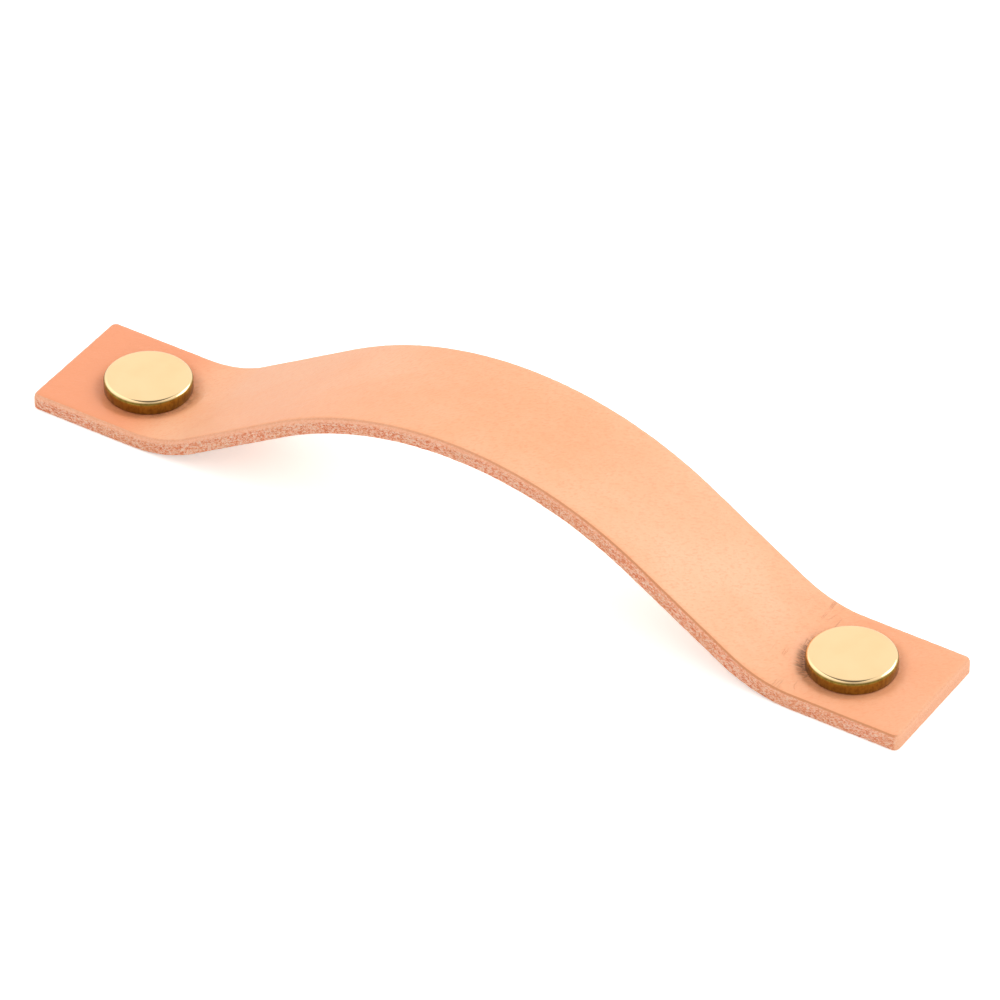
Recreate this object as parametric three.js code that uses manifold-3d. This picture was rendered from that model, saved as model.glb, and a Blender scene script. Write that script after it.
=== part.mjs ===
// An arched leather strap handle for a drawer or cabinet front. Lengths are in millimetres.
// The origin is on the face of the front, midway between the two fixing holes. X runs along the strap,
// Z points out of the front, and the strap's flesh side lies on the plane z = 0.
import * as THREE from "three";
import { mergeVertices } from "three/addons/utils/BufferGeometryUtils.js";
import Module from "manifold-3d";

const wasm = await Module();
wasm.setup();

// Fixing and front
const holeSpacing = 128;
const frontThickness = 18;

// Leather strap
const strapWidth = 23;
const strapThickness = 2.8;
const endMargin = 14.5;
const cornerRadius = 1.1;
const grainBevelWidth = 0.6;
const grainBevelDepth = 0.9;
const fleshChamfer = 0.25;

// Arch, measured on the strap's middle line
const archRise = 22.3;
const flankAngle = THREE.MathUtils.degToRad(31.3);
const footRadius = 22;
const footInset = 4;

// Pressed seat and punched hole under each button
const seatDepth = 0.3;
const seatRimWidth = 1.5;
const seatFlareWidth = 1.6;
const seatFlareHeight = 1.1;
const seatSideClearance = 0.2;
const seatGap = 0.1;
const bossClearance = 0.3;

// Turned brass button
const headDiameter = 14.2;
const headHeight = 2.3;
const rimFillet = 0.7;
const headEdgeChamfer = 0.2;
const capWall = 0.65;
const bossDiameter = 6;
const bossEndGap = 0.3;
const bossChamfer = 0.3;

// M4 pan-head screw from behind the front
const threadDiameter = 4;
const threadClearance = 0.1;
const tipChamfer = 0.6;
const boreEndGap = 0.25;
const screwHeadDiameter = 8;
const screwHeadHeight = 3.1;
const screwHeadWall = 0.9;
const recessDepth = 1.8;
const recessSpan = 4.4;
const recessFootSpan = 1.6;
const recessSlot = 0.9;

// Facet counts
const crestSteps = 28;
const footSteps = 10;
const cornerSteps = 5;
const bevelSteps = 3;
const roundSides = 56;
const filletSteps = 5;
const seatRimSteps = 5;
const domeSteps = 6;

// Modelling allowances
const weldTolerance = 1e-4;
const cutterOverrun = 1;

// Heights worked out from the sizes above
const seatFloor = strapThickness - seatDepth;
const headUnderside = seatFloor + seatGap;
const headTop = headUnderside + headHeight;
const boreEnd = headTop - capWall;
const screwTip = boreEnd - boreEndGap;
const headRadius = headDiameter / 2;
const bossRadius = bossDiameter / 2;
const threadRadius = threadDiameter / 2;
const quarterTurn = Math.PI / 2;

const leather = new THREE.MeshStandardMaterial({ color: 0xf0b68c, roughness: 0.62, metalness: 0 });
const brass = new THREE.MeshStandardMaterial({ color: 0xe2bc78, roughness: 0.12, metalness: 1 });
const zincedSteel = new THREE.MeshStandardMaterial({ color: 0xb8bcc0, roughness: 0.35, metalness: 1 });

// Points of an arc from one angle to another, about a centre, with its own radius along each axis.
function arcPoints(centreU, centreV, radiusU, radiusV, from, to, steps) {
  return Array.from({ length: steps + 1 }, (_, i) => {
    const angle = THREE.MathUtils.lerp(from, to, i / steps);
    return new THREE.Vector2(centreU + radiusU * Math.cos(angle), centreV + radiusV * Math.sin(angle));
  });
}

// A closed solid from a geometry whose shared vertices are merged.
function toSolid(geometry) {
  const bare = geometry.index ? geometry.clone() : geometry.clone().toNonIndexed();
  bare.deleteAttribute("normal");
  bare.deleteAttribute("uv");
  const merged = mergeVertices(bare, weldTolerance);
  return new wasm.Manifold(new wasm.Mesh({
    numProp: 3,
    vertProperties: new Float32Array(merged.attributes.position.array),
    triVerts: new Uint32Array(merged.index.array),
  }));
}

function toGeometry(solid) {
  const mesh = solid.getMesh();
  const geometry = new THREE.BufferGeometry();
  geometry.setAttribute("position", new THREE.BufferAttribute(mesh.vertProperties, mesh.numProp));
  geometry.setIndex(new THREE.BufferAttribute(mesh.triVerts, 1));
  geometry.computeVertexNormals();
  return geometry;
}

// A body of revolution about Z. The profile holds (radius, height) points and runs from the axis at the
// bottom, round the outside, back to the axis at the top.
function turned(profile) {
  const geometry = new THREE.LatheGeometry(profile, roundSides);
  geometry.rotateX(quarterTurn);
  return toSolid(geometry);
}

// The middle line of the arch: a crest arc, a straight flank and a foot arc on each side, then a flat tab.
// The crest radius is the one that joins them without a kink at the given rise and flank angle.
const footStart = holeSpacing / 2 - footInset;
const rimDrop = 1 - Math.cos(flankAngle);
const radiusSum = (footStart * Math.sin(flankAngle) - archRise * Math.cos(flankAngle)) / rimDrop;
const crestRadius = radiusSum - footRadius;
const flankRun = (archRise - radiusSum * rimDrop) / Math.sin(flankAngle);
const crestLength = crestRadius * flankAngle;
const footLength = footRadius * flankAngle;
const archLength = crestLength + flankRun + footLength;
const halfLength = archLength + footInset + endMargin;

// Place and slope of the middle line at a distance from the crest along the strap, on either side.
function middleLine(distance) {
  const side = Math.sign(distance);
  const run = Math.abs(distance);
  const level = strapThickness / 2;
  if (run <= crestLength) {
    const slope = run / crestRadius;
    return { x: side * crestRadius * Math.sin(slope),
      z: level + archRise - crestRadius * (1 - Math.cos(slope)),
      slope: side * slope };
  }
  if (run <= crestLength + flankRun) {
    const along = run - crestLength;
    return { x: side * (crestRadius * Math.sin(flankAngle) + along * Math.cos(flankAngle)),
      z: level + archRise - crestRadius * rimDrop - along * Math.sin(flankAngle),
      slope: side * flankAngle };
  }
  const slope = Math.max(0, (archLength - run) / footRadius);
  return { x: side * (footStart - footRadius * Math.sin(slope) + Math.max(0, run - archLength)),
    z: level + footRadius * (1 - Math.cos(slope)),
    slope: side * slope };
}

// The strap as it is cut flat: a rounded rectangle whose edge is chamfered on the flesh side and rolled
// over on the grain side. Each layer is the edge's inset and height.
const edgeLayers = [
  new THREE.Vector2(fleshChamfer, 0),
  new THREE.Vector2(0, fleshChamfer),
  ...arcPoints(grainBevelWidth, strapThickness - grainBevelDepth, -grainBevelWidth, grainBevelDepth,
    0, quarterTurn, bevelSteps),
];

// Stations along one half of the flat strap, from the crest to the end. A station on a corner has an angle.
function halfStations() {
  const stations = [];
  for (let i = 1; i <= crestSteps / 2; i += 1) {
    stations.push({ run: (crestLength * i) / (crestSteps / 2), corner: quarterTurn });
  }
  stations.push({ run: crestLength + flankRun, corner: quarterTurn });
  for (let i = 1; i <= footSteps; i += 1) {
    stations.push({ run: crestLength + flankRun + (footLength * i) / footSteps, corner: quarterTurn });
  }
  for (let i = 0; i <= cornerSteps; i += 1) {
    stations.push({ run: halfLength, corner: quarterTurn * (1 - i / cornerSteps) });
  }
  return stations;
}

// The section ring at a station: up the near edge, then down the far edge.
function sectionRing(station, side) {
  const atEnd = station.run === halfLength;
  const near = [];
  const far = [];
  for (const layer of edgeLayers) {
    const radius = cornerRadius - layer.x;
    const run = atEnd ? halfLength - cornerRadius + radius * Math.cos(station.corner) : station.run;
    const halfWidth = strapWidth / 2 - cornerRadius + radius * Math.sin(station.corner);
    const middle = middleLine(side * run);
    const lift = layer.y - strapThickness / 2;
    const x = middle.x + lift * Math.sin(middle.slope);
    const z = middle.z + lift * Math.cos(middle.slope);
    near.push(new THREE.Vector3(x, -halfWidth, z));
    far.unshift(new THREE.Vector3(x, halfWidth, z));
  }
  return [...near, ...far];
}

function bentStrap() {
  const half = halfStations();
  const rings = [
    ...half.toReversed().map((station) => sectionRing(station, -1)),
    sectionRing({ run: 0, corner: quarterTurn }, 1),
    ...half.map((station) => sectionRing(station, 1)),
  ];
  const ringSize = edgeLayers.length * 2;
  const positions = rings.flat().flatMap((point) => point.toArray());
  const triangles = [];
  for (let ring = 0; ring + 1 < rings.length; ring += 1) {
    for (let i = 0; i < ringSize; i += 1) {
      const here = ring * ringSize + i;
      const beside = ring * ringSize + ((i + 1) % ringSize);
      triangles.push(here, beside + ringSize, beside, here, here + ringSize, beside + ringSize);
    }
  }
  const lastRing = (rings.length - 1) * ringSize;
  for (let low = 0; low + 1 < edgeLayers.length; low += 1) {
    const high = ringSize - 1 - low;
    triangles.push(low, low + 1, high - 1, low, high - 1, high);
    triangles.push(lastRing + low, lastRing + high - 1, lastRing + low + 1);
    triangles.push(lastRing + low, lastRing + high, lastRing + high - 1);
  }
  const geometry = new THREE.BufferGeometry();
  geometry.setAttribute("position", new THREE.Float32BufferAttribute(positions, 3));
  geometry.setIndex(triangles);
  return toSolid(geometry);
}

// What the button presses into the grain and the punch takes out, on one axis.
function seatCutter() {
  const floorRadius = headRadius + seatSideClearance;
  const flareRadius = floorRadius + seatRimWidth + seatFlareWidth;
  const above = headTop + cutterOverrun;
  const rim = Array.from({ length: seatRimSteps + 1 }, (_, i) => {
    const share = i / seatRimSteps;
    return new THREE.Vector2(floorRadius + seatRimWidth * share,
      seatFloor + seatDepth * Math.sin(quarterTurn * share));
  });
  const dish = turned([
    new THREE.Vector2(0, seatFloor),
    ...rim,
    new THREE.Vector2(flareRadius, seatFloor + seatDepth + seatFlareHeight),
    new THREE.Vector2(flareRadius, above),
    new THREE.Vector2(0, above),
  ]);
  const holeRadius = bossRadius + bossClearance;
  const punch = turned([
    new THREE.Vector2(0, -cutterOverrun),
    new THREE.Vector2(holeRadius, -cutterOverrun),
    new THREE.Vector2(holeRadius, above),
    new THREE.Vector2(0, above),
  ]);
  return dish.add(punch);
}

// Button: polished head with a filleted rim, and a boss with a blind tapped bore that opens at its foot.
function turnedButton() {
  const boreRadius = threadRadius + threadClearance;
  return turned([
    new THREE.Vector2(0, boreEnd),
    new THREE.Vector2(boreRadius, boreEnd),
    new THREE.Vector2(boreRadius, bossEndGap),
    new THREE.Vector2(bossRadius - bossChamfer, bossEndGap),
    new THREE.Vector2(bossRadius, bossEndGap + bossChamfer),
    new THREE.Vector2(bossRadius, headUnderside),
    new THREE.Vector2(headRadius - headEdgeChamfer, headUnderside),
    new THREE.Vector2(headRadius, headUnderside + headEdgeChamfer),
    ...arcPoints(headRadius - rimFillet, headTop - rimFillet, rimFillet, rimFillet,
      0, quarterTurn, filletSteps),
    new THREE.Vector2(0, headTop),
  ]);
}

// Cross recess: two crossed slots that narrow towards the foot.
function crossRecess(headEnd) {
  const depth = recessDepth * 2;
  const slots = [0, quarterTurn].map((turn) => {
    const slot = new THREE.BoxGeometry(recessSpan, recessSlot, depth);
    slot.rotateZ(turn);
    slot.translate(0, 0, headEnd);
    return toSolid(slot);
  });
  const taper = turned([
    new THREE.Vector2(0, headEnd - recessDepth),
    new THREE.Vector2(recessSpan, headEnd - recessDepth),
    new THREE.Vector2(recessSpan / 2, headEnd),
    new THREE.Vector2(recessFootSpan / 2, headEnd + recessDepth),
    new THREE.Vector2(0, headEnd + recessDepth),
  ]);
  return slots[0].add(slots[1]).intersect(taper);
}

// Screw: pan head behind the front, shank through it, chamfered tip inside the button's bore.
function panHeadScrew() {
  const bearing = -frontThickness;
  const headEnd = bearing - screwHeadHeight;
  const outerRadius = screwHeadDiameter / 2;
  const blank = turned([
    ...arcPoints(0, bearing - screwHeadWall, outerRadius, screwHeadHeight - screwHeadWall,
      -quarterTurn, 0, domeSteps),
    new THREE.Vector2(outerRadius, bearing),
    new THREE.Vector2(threadRadius, bearing),
    new THREE.Vector2(threadRadius, screwTip - tipChamfer),
    new THREE.Vector2(threadRadius - tipChamfer, screwTip),
    new THREE.Vector2(0, screwTip),
  ]);
  return blank.subtract(crossRecess(headEnd));
}

function namedMesh(name, solid, material, x) {
  const mesh = new THREE.Mesh(toGeometry(solid), material);
  mesh.name = name;
  mesh.position.x = x;
  return mesh;
}

const fixings = [
  { side: "left", x: -holeSpacing / 2 },
  { side: "right", x: holeSpacing / 2 },
];

const handle = new THREE.Group();
const cutter = seatCutter();
const strap = fixings.reduce((body, fixing) => body.subtract(cutter.translate(fixing.x, 0, 0)), bentStrap());
handle.add(namedMesh("strap", strap, leather, 0));

const button = turnedButton();
const screw = panHeadScrew();
for (const fixing of fixings) {
  handle.add(namedMesh(`button_${fixing.side}`, button, brass, fixing.x));
  handle.add(namedMesh(`screw_${fixing.side}`, screw, zincedSteel, fixing.x));
}

export default handle;
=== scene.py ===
"""Dresses the arched leather strap handle: leather strap, turned brass buttons and machine screws.

Lengths are in metres. X runs along the strap and Z points out of the drawer front, whose face is z = 0.
"""

import logging
import math
from collections.abc import Callable, Iterator
from contextlib import contextmanager
from dataclasses import dataclass
from enum import Enum
from functools import partial

import bmesh
import bpy
from mathutils import Matrix, Vector


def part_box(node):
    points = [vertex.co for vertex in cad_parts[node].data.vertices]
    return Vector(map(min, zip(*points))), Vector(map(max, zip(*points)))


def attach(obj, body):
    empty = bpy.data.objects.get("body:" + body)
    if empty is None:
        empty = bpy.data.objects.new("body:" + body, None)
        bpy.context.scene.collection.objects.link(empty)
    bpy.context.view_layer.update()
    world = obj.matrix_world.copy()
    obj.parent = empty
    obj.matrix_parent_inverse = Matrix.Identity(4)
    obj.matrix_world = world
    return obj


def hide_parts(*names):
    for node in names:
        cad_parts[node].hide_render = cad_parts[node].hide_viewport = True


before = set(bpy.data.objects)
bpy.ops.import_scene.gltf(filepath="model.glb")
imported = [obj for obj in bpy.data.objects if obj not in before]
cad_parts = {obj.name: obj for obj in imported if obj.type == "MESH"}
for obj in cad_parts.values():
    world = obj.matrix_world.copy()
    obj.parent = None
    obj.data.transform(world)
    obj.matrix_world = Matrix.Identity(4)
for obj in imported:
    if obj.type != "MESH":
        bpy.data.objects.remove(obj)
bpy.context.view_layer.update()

logging.basicConfig(level=logging.INFO, format="%(message)s")
log = logging.getLogger("handle")

MM = 0.001
EPS = 1e-6
QUARTER_TURN = math.pi / 2
BODY = "root"
WHITE = "#FFFFFF"
FAR = 1000.0
# Directions from a button, outward, across and up: where the painted shade round it is strongest, and where
# the bend creases the grain.
SHADE_SIDE = (-0.9, -0.44, 0.0)
CREASED_SIDE = (-0.96, -0.28, 0.0)


class Side(Enum):
    """The two ends of the handle, by the sign of X."""

    LEFT = -1
    RIGHT = 1


class Region(Enum):
    """Material slots of the strap, in slot order."""

    GRAIN = 0
    CUT_EDGE = 1
    FLESH = 2


# Helpers for modelling as by hand


def deselect_all() -> None:
    """Deselects every object, the CAD nodes among them."""
    for thing in bpy.context.selected_objects:
        thing.select_set(False)


def pick(thing: bpy.types.Object) -> None:
    """Makes one object the only selected one and the active one.

    Args:
        thing: The object that the next operators work on.
    """
    deselect_all()
    thing.select_set(True)
    bpy.context.view_layer.objects.active = thing


@contextmanager
def editing(thing: bpy.types.Object, mode: str = "FACE") -> Iterator[None]:
    """Holds an object in edit mode.

    Args:
        thing: The object to edit.
        mode: The select mode, VERT, EDGE or FACE.
    """
    pick(thing)
    bpy.ops.object.mode_set(mode="EDIT")
    bpy.ops.mesh.select_mode(type=mode)
    yield
    bpy.ops.object.mode_set(mode="OBJECT")


def select_verts(thing: bpy.types.Object, test: Callable[[Vector], bool]) -> None:
    """Selects the vertices of the edited object whose place passes a test, and the faces that they fill.

    Args:
        thing: The object in edit mode.
        test: Takes a vertex's place.
    """
    mesh = bmesh.from_edit_mesh(thing.data)
    for vert in mesh.verts:
        vert.select = test(vert.co)
    mesh.select_flush_mode()
    mesh.select_flush(True)
    mesh.select_flush(False)
    bmesh.update_edit_mesh(thing.data)


def select_level(thing: bpy.types.Object, level: float, up: int = 0) -> None:
    """Selects what lies at one height of the edited object, and nothing else.

    Args:
        thing: The object in edit mode, with edges or faces as its select mode.
        level: The height.
        up: 0 for edges, 1 for faces that look up, -1 for faces that look down.
    """
    mesh = bmesh.from_edit_mesh(thing.data)
    for element in (*mesh.verts, *mesh.edges, *mesh.faces):
        element.select = False
    for element in mesh.faces if up else mesh.edges:
        level_with = all(abs(vert.co.z - level) < EPS for vert in element.verts)
        if level_with and (not up or element.normal.z * up > 0.9):
            element.select = True
    bmesh.update_edit_mesh(thing.data)


def bisect_at(places: list[float], axis: int) -> None:
    """Cuts the edited mesh through with planes square to one axis.

    Args:
        places: Where the planes cross the axis.
        axis: 0, 1 or 2 for X, Y or Z.
    """
    normal = tuple(float(i == axis) for i in range(3))
    for place in places:
        bpy.ops.mesh.select_all(action="SELECT")
        bpy.ops.mesh.bisect(plane_co=tuple(place * n for n in normal), plane_no=normal)


def even_places(low: float, high: float, pitch: float) -> list[float]:
    """Places strictly between two ends, about one pitch apart.

    Args:
        low: The lower end.
        high: The upper end.
        pitch: The wanted spacing.

    Returns:
        The places, evenly spaced.
    """
    count = max(1, round((high - low) / pitch))
    return [low + (high - low) * i / count for i in range(1, count)]


def raise_faces(rise: float) -> None:
    """Extrudes the selected faces straight up, or down where the rise is negative."""
    bpy.ops.mesh.extrude_region_move(TRANSFORM_OT_translate={"value": (0, 0, rise)})


def apply_modifiers(thing: bpy.types.Object) -> None:
    """Applies an object's modifiers in order."""
    pick(thing)
    for name in [modifier.name for modifier in thing.modifiers]:
        bpy.ops.object.modifier_apply(modifier=name)


def settle(thing: bpy.types.Object) -> None:
    """Puts an object's place into its mesh, so that the object sits at the origin, unturned and unscaled."""
    pick(thing)
    bpy.ops.object.transform_apply(location=True, rotation=True, scale=True)


def boolean_with(thing: bpy.types.Object, tool: bpy.types.Object, operation: str) -> None:
    """Cuts or joins an object with another, which is then removed.

    Args:
        thing: The object that keeps the result.
        tool: The object that cuts or joins.
        operation: DIFFERENCE, UNION or INTERSECT.
    """
    modifier = thing.modifiers.new("cut", "BOOLEAN")
    modifier.operation = operation
    modifier.solver = "EXACT"
    modifier.object = tool
    apply_modifiers(thing)
    bpy.data.objects.remove(tool, do_unlink=True)


def smooth_by_angle(thing: bpy.types.Object, degrees: float) -> None:
    """Smooths shading over edges shallower than an angle.

    Args:
        thing: The object to shade.
        degrees: The widest angle that stays smooth.
    """
    pick(thing)
    bpy.ops.object.shade_smooth_by_angle(angle=math.radians(degrees))


def recalculate_normals(thing: bpy.types.Object) -> None:
    """Merges doubled vertices and turns all faces outwards."""
    with editing(thing):
        bpy.ops.mesh.select_all(action="SELECT")
        bpy.ops.mesh.remove_doubles(threshold=EPS)
        bpy.ops.mesh.normals_make_consistent(inside=False)


# Helpers for materials


Socket = bpy.types.NodeSocket
AddNode = Callable[..., Socket]
FLAT_PLACE = "flat_place"
EASED = {"interpolation_type": "SMOOTHSTEP"}
COLOURS = {"data_type": "RGBA"}
TIMES = {"operation": "MULTIPLY"}
LESS = {"operation": "SUBTRACT"}
ABSOLUTE = {"operation": "ABSOLUTE"}
AGREEMENT = {"operation": "DOT_PRODUCT"}
LENGTH = {"operation": "LENGTH"}


def linear(hex_colour: str) -> tuple[float, float, float, float]:
    """Turns an sRGB hex colour to linear values.

    Args:
        hex_colour: Six hex digits after a hash sign.

    Returns:
        Linear red, green and blue, and an alpha of 1.
    """
    channels = [int(hex_colour[i : i + 2], 16) / 255 for i in (1, 3, 5)]
    red, green, blue = ((c / 12.92 if c <= 0.04045 else ((c + 0.055) / 1.055) ** 2.4) for c in channels)
    return (red, green, blue, 1.0)


def set_inputs(node: bpy.types.Node, inputs: dict[str | int, object] | tuple[object, ...]) -> None:
    """Sets a node's input sockets.

    Args:
        node: The node.
        inputs: Values by the socket's name or number, or in the sockets' order. An output socket is linked.
    """
    for key, value in inputs.items() if isinstance(inputs, dict) else enumerate(inputs):
        socket = node.inputs[key]
        if isinstance(value, Socket):
            node.id_data.links.new(value, socket)
        else:
            socket.default_value = value


def add_node(
    tree: bpy.types.NodeTree,
    kind: str,
    inputs: dict[str | int, object] | tuple[object, ...] = (),
    output: str | int = 0,
    stops: tuple[tuple[float, str], ...] = (),
    **settings: object,
) -> Socket:
    """Adds a shader node with its settings, values and links.

    Args:
        tree: The tree that the node goes into.
        kind: The node's type name, after ShaderNode.
        inputs: Values for its input sockets, as set_inputs takes them.
        output: The output to give back, by name or number.
        stops: A colour ramp's places from 0 to 1, with their hex colours.
        settings: Properties of the node itself.

    Returns:
        The output socket.
    """
    node = tree.nodes.new(f"ShaderNode{kind}")
    for name, value in settings.items():
        setattr(node, name, value)
    if stops:
        elements = node.color_ramp.elements
        while len(elements) < len(stops):
            elements.new(0.5)
        for element, (place, colour) in zip(elements, stops):
            element.position = place
            element.color = linear(colour)
    set_inputs(node, inputs)
    return node.outputs[output]


def new_material(name: str) -> tuple[bpy.types.Material, bpy.types.Node, AddNode]:
    """Makes a material with a Principled shader.

    Args:
        name: The real material's name.

    Returns:
        The material, its shader, and what adds a node to it.
    """
    material = bpy.data.materials.new(name)
    material.use_nodes = True
    tree = material.node_tree
    return material, tree.nodes["Principled BSDF"], partial(add_node, tree)


@dataclass(frozen=True)
class VegetableTannedGrain:
    """Vegetable-tanned cowhide, grain side, drum-tanned and left undyed with a light wax.

    The hair pores give a fine matt tooth, the hide takes the tan unevenly in soft clouds, and the wax gives
    a broad, weak sheen that pales the slopes. A brown painted shade lies round the buttons, strongest on one
    side, and the grain is creased on the side that the bend pushes against, the creases and the faint folds
    darkened with painted shade. Pores of 0.1 mm are too fine to show, so they are drawn three times as
    coarse.
    """

    tone: str = "#FCB281"
    pale: str = "#FDBB8E"
    warm: str = "#FBAC7A"
    tab: str = "#F79D6D"
    # Painted shade round the buttons and in the folds.
    painted_shade: str = "#A96A40"
    # Painted shade in the creases.
    crease_shade: str = "#6E4428"
    cloud: float = 16 * MM
    mottle: float = 2.6 * MM
    pore: float = 0.32 * MM
    hair_lay: float = math.radians(53)
    hair_length: float = 2.4
    pore_depth: float = 0.13 * MM
    wrinkle: float = 0.22 * MM
    fold: float = 1.1 * MM
    shade_reach: float = 2.2 * MM
    crease_start: float = 0.2 * MM
    crease_reach: float = 2.3 * MM
    fold_offset: float = 4 * MM
    fold_core: float = 2 * MM
    fold_reach: float = 6 * MM

    def shade_round_buttons(self, add: AddNode, place: Socket, strap: "Strap") -> tuple[Socket, Socket]:
        """Works out the painted shade round the buttons, and the creases beside the right one.

        Args:
            add: Adds a node.
            place: The flat place.
            strap: The strap, for the places of the buttons.

        Returns:
            How much painted shade the grain gets round the buttons, and how creased it is.
        """
        rim = strap.head_radius
        along, across = (add("SeparateXYZ", (place,), axis) for axis in "XY")
        ahead = add("Math", (add("Math", (along,), **ABSOLUTE), strap.hole_run), **LESS)
        flat = add("CombineXYZ", (ahead, across))
        reach = add("VectorMath", (flat,), "Value", **LENGTH)
        heading = add("VectorMath", (flat,), operation="NORMALIZE")
        close = add("MapRange", (reach, rim + self.shade_reach, rim - 0.1 * MM), **EASED)
        # The painted shade is strongest on one side of each button, and patchy.
        inward = add("VectorMath", (heading, SHADE_SIDE), "Value", **AGREEMENT)
        pressed = add("MapRange", (inward, -0.5, 0.95, 0.2, 1.0), **EASED)
        shade_patches = add("TexNoise", {"Vector": place, "Scale": 1 / self.fold, "Roughness": 0.6})
        patchy = add("MapRange", (shade_patches, 0.3, 0.65, 0.45, 1.0), **EASED)
        close = add("Math", (add("Math", (close, pressed), **TIMES), patchy), **TIMES)
        turn = add("Math", (across, ahead), operation="ARCTAN2")
        polar = add("CombineXYZ", (add("Math", (turn, rim), **TIMES), add("Math", (reach, 0.14), **TIMES)))
        inputs = {"Vector": polar, "Scale": 1 / self.wrinkle, "Roughness": 0.6, "Distortion": 0.5}
        hairs = add("MapRange", (add("TexNoise", inputs), 0.46, 0.6), **EASED)
        inward = add("VectorMath", (heading, CREASED_SIDE), "Value", **AGREEMENT)
        pushed = add("MapRange", (inward, 0.62, 0.97), **EASED)
        on_right = add("MapRange", (along, 0.0, 1 * MM, 0.25, 1.0), **EASED)
        near = add("MapRange", (reach, rim + self.crease_reach, rim + self.crease_start), **EASED)
        creased = add("Math", (add("Math", (pushed, on_right), **TIMES), near), **TIMES)
        return close, add("Math", (creased, hairs), **TIMES)

    def folds(self, add: AddNode, place: Socket, strap: "Strap") -> Socket:
        """Draws the few faint folds across the strap where its right foot bends up, as shallow dents darkened
        with painted shade.

        Args:
            add: Adds a node.
            place: The flat place.
            strap: The strap, for the place of the foot.

        Returns:
            How deep the fold is, from 0 to 1.
        """
        drawn = add("Mapping", {"Vector": place, "Scale": (1.0, 0.1, 1.0)})
        inputs = {"Vector": drawn, "Scale": 1 / self.fold, "Detail": 1.0, "Roughness": 0.4}
        lines = add("TexNoise", inputs | {"Distortion": 0.6})
        middle = add("Math", (add("Math", (lines, 0.5), **LESS),), **ABSOLUTE)
        line = add("MapRange", (middle, 0.03, 0.0), **EASED)
        clouds = add("TexNoise", {"Vector": place, "Scale": 3 / self.cloud, "Detail": 1.0})
        line = add("Math", (line, add("MapRange", (clouds, 0.5, 0.62), **EASED)), **TIMES)
        along = add("SeparateXYZ", (place,), "X")
        offset = add("Math", (along, strap.foot_start - self.fold_offset), **LESS)
        offset = add("Math", (offset,), **ABSOLUTE)
        near = add("MapRange", (offset, self.fold_reach, self.fold_core), **EASED)
        return add("Math", (line, near), **TIMES)

    def material(self, strap: "Strap") -> bpy.types.Material:
        """Builds the grain's material.

        Args:
            strap: The strap, for the places of the buttons and the edges.

        Returns:
            The material.
        """
        material, shader, add = new_material("vegetable_tanned_leather_grain")
        place = add("Attribute", output="Vector", attribute_name=FLAT_PLACE)
        drawn = add("Mapping", {"Vector": place, "Scale": (0.6, 1.0, 1.0)})
        inputs = {"Vector": drawn, "Scale": 1 / self.cloud, "Detail": 3.0, "Roughness": 0.55}
        cloud = add("TexNoise", inputs | {"Distortion": 0.4})
        mottle = add("TexNoise", {"Vector": place, "Scale": 1 / self.mottle, "Detail": 3.0, "Roughness": 0.6})
        inputs = {"Rotation": (0.0, 0.0, self.hair_lay), "Scale": (self.hair_length, 1.0, 1.0)}
        lying = add("Mapping", inputs | {"Vector": place}, vector_type="TEXTURE")
        pores = add("TexNoise", {"Vector": lying, "Scale": 1 / self.pore, "Roughness": 0.65})
        along = add("SeparateXYZ", (place,), "X")
        distance = add("Math", (along,), **ABSOLUTE)
        on_tab = add("MapRange", (distance, strap.foot_start - 6 * MM, strap.hole_run), **EASED)
        on_left = add("MapRange", (along, -10 * MM, 10 * MM, 1.0, 0.38), **EASED)
        close, creased = self.shade_round_buttons(add, place, strap)
        folded = self.folds(add, place, strap)
        colour = add("ValToRGB", (cloud,), stops=((0.3, self.warm), (0.5, self.tone), (0.7, self.pale)))
        for share, tint in (
            (add("MapRange", (mottle, 0.35, 0.75, 0.0, 0.3), **EASED), self.pale),
            (add("MapRange", (pores, 0.48, 0.7, 0.0, 0.5), **EASED), self.tab),
            (add("Math", (on_tab, on_left), **TIMES), self.tab),
            # Painted shade round the buttons.
            (add("Math", (close, 0.55), **TIMES), self.painted_shade),
            # Painted shade darkening the creases.
            (add("Math", (creased, 0.75), **TIMES), self.crease_shade),
            # Painted shade in the folds.
            (add("Math", (folded, 0.14), **TIMES), self.painted_shade),
        ):
            colour = add("Mix", {0: share, 6: colour, 7: linear(tint)}, 2, **COLOURS)
        height = add("Math", (mottle, add("Math", (pores, 0.7), **TIMES)))
        for dent, depth in ((creased, 1.5), (folded, 0.5)):
            height = add("Math", (height, add("Math", (dent, depth), **TIMES)), **LESS)
        look = {
            "Base Color": colour,
            "Roughness": 0.5,
            "Coat Weight": 0.42,
            "Coat Roughness": 0.42,
            "Normal": add("Bump", {"Height": height, "Distance": self.pore_depth}),
        }
        set_inputs(shader, look)
        return material


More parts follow.
